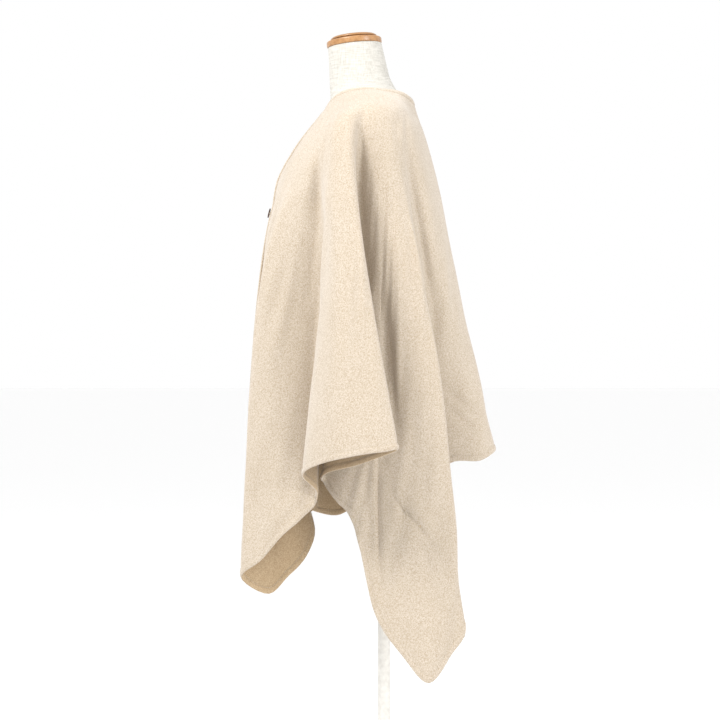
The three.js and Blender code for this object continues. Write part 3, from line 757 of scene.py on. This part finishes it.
x = half_width * oval(np.cos(turn), power)
y = middle_y + depth * oval(np.sin(turn), power)
z = np.broadcast_to(heights[:, None], x.shape)
slope = np.clip((z - SLOPE_FROM) / (FORM_HIGH - SLOPE_FROM), 0, 1) * math.tan(TILT)
z = z + (y - CAP_MIDDLE_Y) * slope
seam_height = SEAM_LEVEL + 0.32 * (y - CAP_MIDDLE_Y)
from_seam = z - seam_height
relief = -0.9 * np.exp(-((from_seam / 1.1) ** 2)) + 0.5 * np.exp(-(((np.abs(from_seam) - 3.2) / 1.8) ** 2))
side_seam = np.abs(y - middle_y) / depth
relief = relief - 0.5 * np.exp(-((side_seam / 0.012) ** 2)) * (z < 1500)
away = np.stack([x / half_width**2, (y - middle_y) / depth**2], axis=-1)
away /= np.linalg.norm(away, axis=-1, keepdims=True)
x, y = x + away[..., 0] * relief, y + away[..., 1] * relief
form_points = np.stack([x, y, z], axis=-1).reshape(-1, 3)


def ring_faces(rings, sides):
    r, s = np.meshgrid(np.arange(rings - 1), np.arange(sides), indexing="ij")
    a, b = r * sides + s, r * sides + (s + 1) % sides
    return np.stack([a, b, b + sides, a + sides], axis=-1).reshape(-1, 4).tolist()


form_faces = ring_faces(FORM_RINGS, FORM_SIDES)
form_faces.append(tuple(reversed(range(FORM_SIDES))))
form_faces.append(tuple(range((FORM_RINGS - 1) * FORM_SIDES, FORM_RINGS * FORM_SIDES)))
form = make_piece("linen_form", form_points, form_faces, "linen", 50)
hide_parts("dress_form")

# %% [markdown]
# The neck cap and the stand
#
# The cap is two discs of turned beech on the sloping top of the neck, the upper one a low
# dome with a fine groove round its foot. The stand is a plain painted pole and plate. Turned
# work is one profile spun round an axis, with small rounded corners that catch the light as a
# real turner's edge does.

# %% Cap, pole and base
cap_corners = [(0, 0), (53.6, 0), (55, 1.6), (55, 10.0), (53.4, 12.1), (50.5, 12.5), (42.5, 12.5),
               (42.5, 14.4), (46.3, 14.9), (46.0, 17.0), (42, 19.8), (33, 21.2), (0, 21.6)]
cap_points, cap_faces = turned(rounded(cap_corners, 0.9, 5), 128)
lean = (0, -math.sin(TILT), math.cos(TILT))
cap_seat = np.array([0, CAP_MIDDLE_Y, FORM_HIGH + 0.3])
cap = make_piece("beech_cap", stand_on(cap_points, cap_seat, lean), cap_faces, "beech", 35)
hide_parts("neck_cap")

pole_low, pole_high = (corner[2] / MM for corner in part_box("stand_pole"))
top = pole_high - pole_low
pole_corners = [(0, 0), (26, 0), (26, 22), (12.5, 22),
                (12.5, top - 8), (40, top - 8), (40, top), (0, top)]
pole_points, pole_faces = turned(rounded(pole_corners, 1.5), 64)
pole = make_piece("stand_tube", pole_points + [0, 0, pole_low], pole_faces, "enamel", 35)
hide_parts("stand_pole")

base_points, base_faces = turned(rounded([(0, 0), (170, 0), (170, 10), (166, 14), (0, 14)], 2.0), 128)
base = make_piece("stand_plate", base_points, base_faces, "enamel", 35)
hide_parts("stand_base")

# %% [markdown]
# Fuzz
#
# Wool is never smooth: fibres stand off the knit and soften its outline. Blender's hair would
# be lost in the export, so each fibre is a thin bent blade of three triangles. They are spread
# evenly by area over the outer face, a little denser than they look, because most are hidden.

# %% Loose fibres on the outer face
FIBRES = 44000
quads = np.stack([outer[:-1, :-1], outer[1:, :-1], outer[1:, 1:], outer[:-1, 1:]], axis=2)
areas = np.linalg.norm(np.cross(quads[:, :, 2] - quads[:, :, 0], quads[:, :, 3] - quads[:, :, 1]), axis=-1)
chance = (areas / areas.sum()).ravel()
pick = rng.choice(len(chance), FIBRES, p=chance)
i, j = np.divmod(pick, COLUMNS - 1)
a, b = rng.random((2, FIBRES, 1))
this_column = outer[i, j] * (1 - a) + outer[i + 1, j] * a
next_column = outer[i, j + 1] * (1 - a) + outer[i + 1, j + 1] * a
root = this_column * (1 - b) + next_column * b
lift = normals[i, j]
lean_way = rng.normal(size=(FIBRES, 3))
lean_way -= lift * np.sum(lean_way * lift, axis=1, keepdims=True)
lean_way /= np.linalg.norm(lean_way, axis=1, keepdims=True)
long = rng.uniform(1.2, 3.4, (FIBRES, 1))
flat_side = np.cross(lean_way, lift) * 0.07
knee = root + lift * long * 0.42 + lean_way * long * 0.35
tip = root + lift * long * rng.uniform(0.35, 0.75, (FIBRES, 1)) + lean_way * long
fibre_points = np.stack([
    root - flat_side, root + flat_side, knee + flat_side * 0.7, knee - flat_side * 0.7, tip
], axis=1)
start = np.arange(FIBRES)[:, None] * 5
lower = start + np.array([0, 1, 2, 3])
upper = start + np.array([3, 2, 4])
fuzz = make_piece("wool_fuzz", fibre_points, lower.tolist() + upper.tolist(), "knit")

# %% [markdown]
# Shader maths
#
# A material is a sheet of nodes. Adding them one by one hides what they work out, so one
# small class wraps a socket and turns + - * into Math nodes. Any other node comes from one
# method that takes its type, its settings and its inputs.

# %% A socket that can be reckoned with
def linear(code):
    """A colour written as on a paint card, in the numbers that Blender works with."""
    values = [int(code[k:k + 2], 16) / 255 for k in (1, 3, 5)]
    return tuple(v / 12.92 if v <= 0.04045 else ((v + 0.055) / 1.055) ** 2.4 for v in values) + (1.0,)


class Strand:
    def __init__(self, finish, socket):
        self.finish, self.socket = finish, socket

    def maths(self, operation, first, second):
        settings = {"operation": operation}
        return self.finish.node("ShaderNodeMath", settings, {0: first, 1: second})

    def __add__(self, other): return self.maths("ADD", self, other)
    def __radd__(self, other): return self.maths("ADD", other, self)
    def __sub__(self, other): return self.maths("SUBTRACT", self, other)
    def __rsub__(self, other): return self.maths("SUBTRACT", other, self)
    def __mul__(self, other): return self.maths("MULTIPLY", self, other)
    def __rmul__(self, other): return self.maths("MULTIPLY", other, self)

    def held(self, low, high):
        """0 below low, 1 above high and even between."""
        settings = {"interpolation_type": "LINEAR"}
        inputs = {"Value": self, "From Min": low, "From Max": high}
        return self.finish.node("ShaderNodeMapRange", settings, inputs)


class Finish:
    """One procedural material, built from nodes."""

    def __init__(self, name, **constants):
        self.material = bpy.data.materials.new(name)
        self.material.use_nodes = True
        self.tree = self.material.node_tree
        self.shader = self.tree.nodes["Principled BSDF"]
        for socket, value in constants.items():
            self.shader.inputs[socket.replace("_", " ")].default_value = value

    def join(self, socket, value):
        if isinstance(value, Strand):
            self.tree.links.new(value.socket, socket)
        else:
            socket.default_value = value

    def node(self, kind, settings=None, inputs=None, output=0):
        made = self.tree.nodes.new(kind)
        for key, value in (settings or {}).items():
            setattr(made, key, value)
        for key, value in (inputs or {}).items():
            self.join(made.inputs[key], value)
        return Strand(self, made.outputs[output])

    def place(self):
        return self.node("ShaderNodeTexCoord", output="Object")

    def noise(self, place, scale, detail=2.0, roughness=0.5, stretch=None):
        if stretch:
            place = self.node("ShaderNodeMapping", None, {"Vector": place, "Scale": stretch})
        inputs = {"Vector": place, "Scale": scale, "Detail": detail, "Roughness": roughness}
        return self.node("ShaderNodeTexNoise", None, inputs)

    def blend(self, share, first, second, mode="MIX"):
        settings = {"data_type": "RGBA", "blend_type": mode}
        return self.node("ShaderNodeMix", settings, {0: share, 6: first, 7: second}, output=2)

    def relief(self, height, strength, distance):
        inputs = {"Height": height, "Strength": strength, "Distance": distance}
        self.set("Normal", self.node("ShaderNodeBump", None, inputs))

    def set(self, socket, value):
        self.join(self.shader.inputs[socket], value)

    def wear(self, *pieces):
        for piece in pieces:
            piece.data.materials.clear()
            piece.data.materials.append(self.material)


# %% [markdown]
# The flat cloth's own coordinates
#
# The knit's rows run straight on the flat cut and bend only with the folds. Every point of
# the cloth therefore keeps its place on the flat rectangle, in metres, in a UV map. Each
# column is a straight line there from the neck hole to its place on the hem.

# %% Flat cut and UV map
HALF_WIDTH, FRONT_LENGTH, BACK_LENGTH, NECK_RADIUS = 0.86, 0.73, 0.80, 0.085
CORNERS = [("left front edge", 0.0, -FRONT_LENGTH), ("left front corner", HALF_WIDTH, -FRONT_LENGTH),
           ("left back corner", HALF_WIDTH, BACK_LENGTH), ("right back corner", -HALF_WIDTH, BACK_LENGTH),
           ("right front corner", -HALF_WIDTH, -FRONT_LENGTH), ("right front edge", 0.0, -FRONT_LENGTH)]
around = np.concatenate([[0], np.cumsum(np.linalg.norm(np.diff(surface[-1], axis=0), axis=1))])
marks = [np.interp(ROWS.index(name), columns, around) for name, _, _ in CORNERS]
hem_flat = np.stack([np.interp(around, marks, [c[k] for c in CORNERS]) for k in (1, 2)], axis=-1)
ray = hem_flat / np.linalg.norm(hem_flat, axis=1, keepdims=True)
neck_flat = ray * NECK_RADIUS
along = (stations / whole)[..., None]
flat_place = neck_flat + (hem_flat - neck_flat) * along
flat_all = np.concatenate([flat_place.reshape(-1, 2)] * 2)[used]
inside_all = np.concatenate([np.zeros(RINGS * COLUMNS), np.ones(RINGS * COLUMNS)])[used]
edge_all = np.concatenate([edge_distance.ravel()] * 2)[used]
uv = poncho.data.uv_layers.new(name="flat")
corner_points = np.empty(len(poncho.data.loops), dtype=np.int32)
poncho.data.loops.foreach_get("vertex_index", corner_points)
uv.data.foreach_set("uv", flat_all[corner_points].ravel())
for name, values in (("inside", inside_all), ("edge", edge_all)):
    attribute = poncho.data.attributes.new(name, "FLOAT", "POINT")
    attribute.data.foreach_set("value", values)
print("flat cut", 2 * HALF_WIDTH, "by", FRONT_LENGTH + BACK_LENGTH, "m")

# %% [markdown]
# Heathered wool
#
# The yarn is spun from light and dark fibres, so the knit is flecked: cream, oatmeal and a
# little brown. Three sizes of noise make it, from single fibres to soft clouds. Faint lines
# of the knit cross it. The inside is a little browner and darker, partly the yarn's own tone
# and partly painted shade.

# %% Wool finish
wool = Finish("heathered_wool", Roughness=0.95, Sheen_Weight=0.35, Sheen_Roughness=0.6,
              Specular_IOR_Level=0.2)
flat = wool.node("ShaderNodeUVMap", {"uv_map": "flat"})
solid_place = wool.place()
inside = wool.node("ShaderNodeAttribute", {"attribute_name": "inside"}, output="Fac")
edge = wool.node("ShaderNodeAttribute", {"attribute_name": "edge"}, output="Fac")
fleck = wool.noise(solid_place, 420, 5.0, 0.85)
fine = wool.noise(solid_place, 1300, 2.0, 0.6)
cloud = wool.noise(solid_place, 14, 3.0, 0.5)
rib = wool.noise(flat, 1.0, 2.0, 0.6, (130, 900, 1))
row = wool.noise(flat, 1.0, 2.0, 0.6, (900, 110, 1))
ground = wool.blend(fleck.held(0.4, 0.6), linear("#9b8970"), linear("#c9beb0"))
ground = wool.blend(fine.held(0.44, 0.7) * 0.35, ground, linear("#d8cfc3"))
ground = wool.blend((rib + row).held(0.85, 1.15) * 0.18, ground, linear("#9d8c75"))
ground = wool.blend(cloud.held(0.35, 0.65) * 0.16, ground, linear("#a89881"))
# Partly painted shade: the whole inner face is multiplied browner and darker, partly the yarn's own tone.
ground = wool.blend(inside, ground, linear("#f0e1c8"), "MULTIPLY")
wool.set("Base Color", ground)
wool.relief(fleck * 0.6 + fine * 0.25 + rib * 0.5 + row * 0.5, 0.55, 0.0012)
wool.wear(poncho)

strand_wool = Finish("wool_yarn", Roughness=0.9, Sheen_Weight=0.3, Specular_IOR_Level=0.2)
spun = strand_wool.noise(strand_wool.place(), 900, 2.0)
strand_wool.set("Base Color", strand_wool.blend(spun.held(0.4, 0.6), linear("#a5967f"), linear("#c2b7a7")))
strand_wool.relief(spun, 0.4, 0.0004)
strand_wool.wear(stitching, buttonhole, fuzz)

# %% [markdown]
# Linen, beech, horn and enamel
#
# Linen shows its plain weave as crossed slubby threads. Beech has fine growth lines and short
# darker flecks under a satin varnish. Horn is nearly black with brown clouds, and polished.
# The enamel is off-white, with the slight ripple of sprayed paint.

# %% Other finishes
linen = Finish("linen_cover", Roughness=0.9, Sheen_Weight=0.15, Specular_IOR_Level=0.25)
place = linen.place()
upright = linen.noise(place, 1.0, 2.0, 0.6, (700, 700, 40))
level = linen.noise(place, 1.0, 2.0, 0.6, (45, 45, 800))
weave = upright * 0.5 + level * 0.5
linen.set("Base Color", linen.blend(weave.held(0.38, 0.62), linear("#aeaba3"), linear("#cbc8c1")))
linen.relief(weave, 0.6, 0.0008)
linen.wear(form)

beech = Finish("turned_beech", Roughness=0.38, Coat_Weight=0.35, Coat_Roughness=0.25)
place = beech.place()
grain = beech.noise(place, 1.0, 4.0, 0.6, (9, 160, 160))
pores = beech.noise(place, 1.0, 2.0, 0.6, (60, 1400, 1400))
tone = beech.blend(grain.held(0.35, 0.65), linear("#94683c"), linear("#ad8050"))
# Painted shade: the upper disc of the cap is drawn darker and yellower than the lower one.
STEP_HEIGHT, STEP_FADE = 1.5452, 0.001
backward = beech.node("ShaderNodeSeparateXYZ", None, {"Vector": place}, output=1)
height = beech.node("ShaderNodeSeparateXYZ", None, {"Vector": place}, output=2)
along_axis = height - (backward - CAP_MIDDLE_Y * MM) * math.tan(TILT)
upper_disc_shade = along_axis.held(STEP_HEIGHT, STEP_HEIGHT + STEP_FADE)
tone = beech.blend(upper_disc_shade * 0.75, tone, linear("#8f6433"))
beech.set("Base Color", beech.blend(pores.held(0.6, 0.8) * 0.3, tone, linear("#7a5330")))
beech.set("Roughness", 0.34 + 0.12 * grain)
beech.relief(pores * 0.4 + grain * 0.3, 0.15, 0.0004)
beech.wear(cap)

horn = Finish("dark_horn", Roughness=0.4, Specular_IOR_Level=0.3, Coat_Weight=0.05, Coat_Roughness=0.2)
clouds = horn.noise(horn.place(), 160, 3.0, 0.6, (1, 1, 0.35))
horn.set("Base Color", horn.blend(clouds.held(0.4, 0.62), linear("#23150e"), linear("#5d3c26")))
horn.set("Roughness", 0.36 + 0.14 * clouds)
horn.relief(clouds, 0.1, 0.0003)
horn.wear(button)

dark_yarn = Finish("dark_thread", Roughness=0.8, Sheen_Weight=0.2)
twist = dark_yarn.noise(dark_yarn.place(), 2200, 2.0)
dark_yarn.set("Base Color", dark_yarn.blend(twist.held(0.4, 0.6), linear("#33221a"), linear("#5a4030")))
dark_yarn.relief(twist, 0.4, 0.0002)
dark_yarn.wear(thread)

enamel = Finish("white_enamel", Roughness=0.4, Coat_Weight=0.15)
ripple = enamel.noise(enamel.place(), 90, 2.0)
enamel.set("Base Color", enamel.blend(ripple.held(0.3, 0.7), linear("#c6c3bd"), linear("#d6d4ce")))
enamel.set("Roughness", 0.36 + 0.1 * ripple)
enamel.relief(ripple, 0.05, 0.0006)
enamel.wear(pole, base)

# %% [markdown]
# Floor, light and camera
#
# The studio is white and bright. A pale floor carries the stand, a soft light hangs above and
# in front, and a larger one fills from behind the left side. The camera stands level at the
# height of the form's hips, four metres away, and looks straight at the wearer's left side.

# %% Stage
floor_mesh = bpy.data.meshes.new("floor")
floor_mesh.from_pydata([(-60, -60, 0), (60, -60, 0), (60, 60, 0), (-60, 60, 0)], [], [(0, 1, 2, 3)])
floor = bpy.data.objects.new("floor", floor_mesh)
SCENE.collection.objects.link(floor)
pale = Finish("pale_floor", Roughness=0.8)
pale.set("Base Color", linear("#fcfcfc"))
floor.data.materials.append(pale.material)

world = bpy.data.worlds.new("studio")
SCENE.world = world
world.use_nodes = True
world.node_tree.nodes["Background"].inputs["Color"].default_value = (1, 1, 1, 1)
world.node_tree.nodes["Background"].inputs["Strength"].default_value = 1.0


def softbox(name, place, target, size, power):
    light = bpy.data.lights.new(name, "AREA")
    light.shape, light.size, light.energy = "DISK", size, power
    lamp = bpy.data.objects.new(name, light)
    lamp.location = place
    lamp.rotation_euler = (Vector(target) - Vector(place)).to_track_quat("-Z", "Y").to_euler()
    SCENE.collection.objects.link(lamp)
    print(name, power, "W")


softbox("top_light", (1.7, -1.5, 3.4), (0, -0.05, 1.1), 0.8, 98)
softbox("side_fill", (2.3, 2.9, 2.0), (0, 0.05, 0.9), 1.2, 64)

camera_data = bpy.data.cameras.new("camera")
camera_data.sensor_width, camera_data.lens = 36, 100
camera = bpy.data.objects.new("camera", camera_data)
camera.location = (4.0, -0.048, 0.904)
camera.rotation_euler = (math.pi / 2, 0, math.pi / 2)
SCENE.collection.objects.link(camera)
SCENE.camera = camera
SCENE.view_settings.view_transform = "Standard"
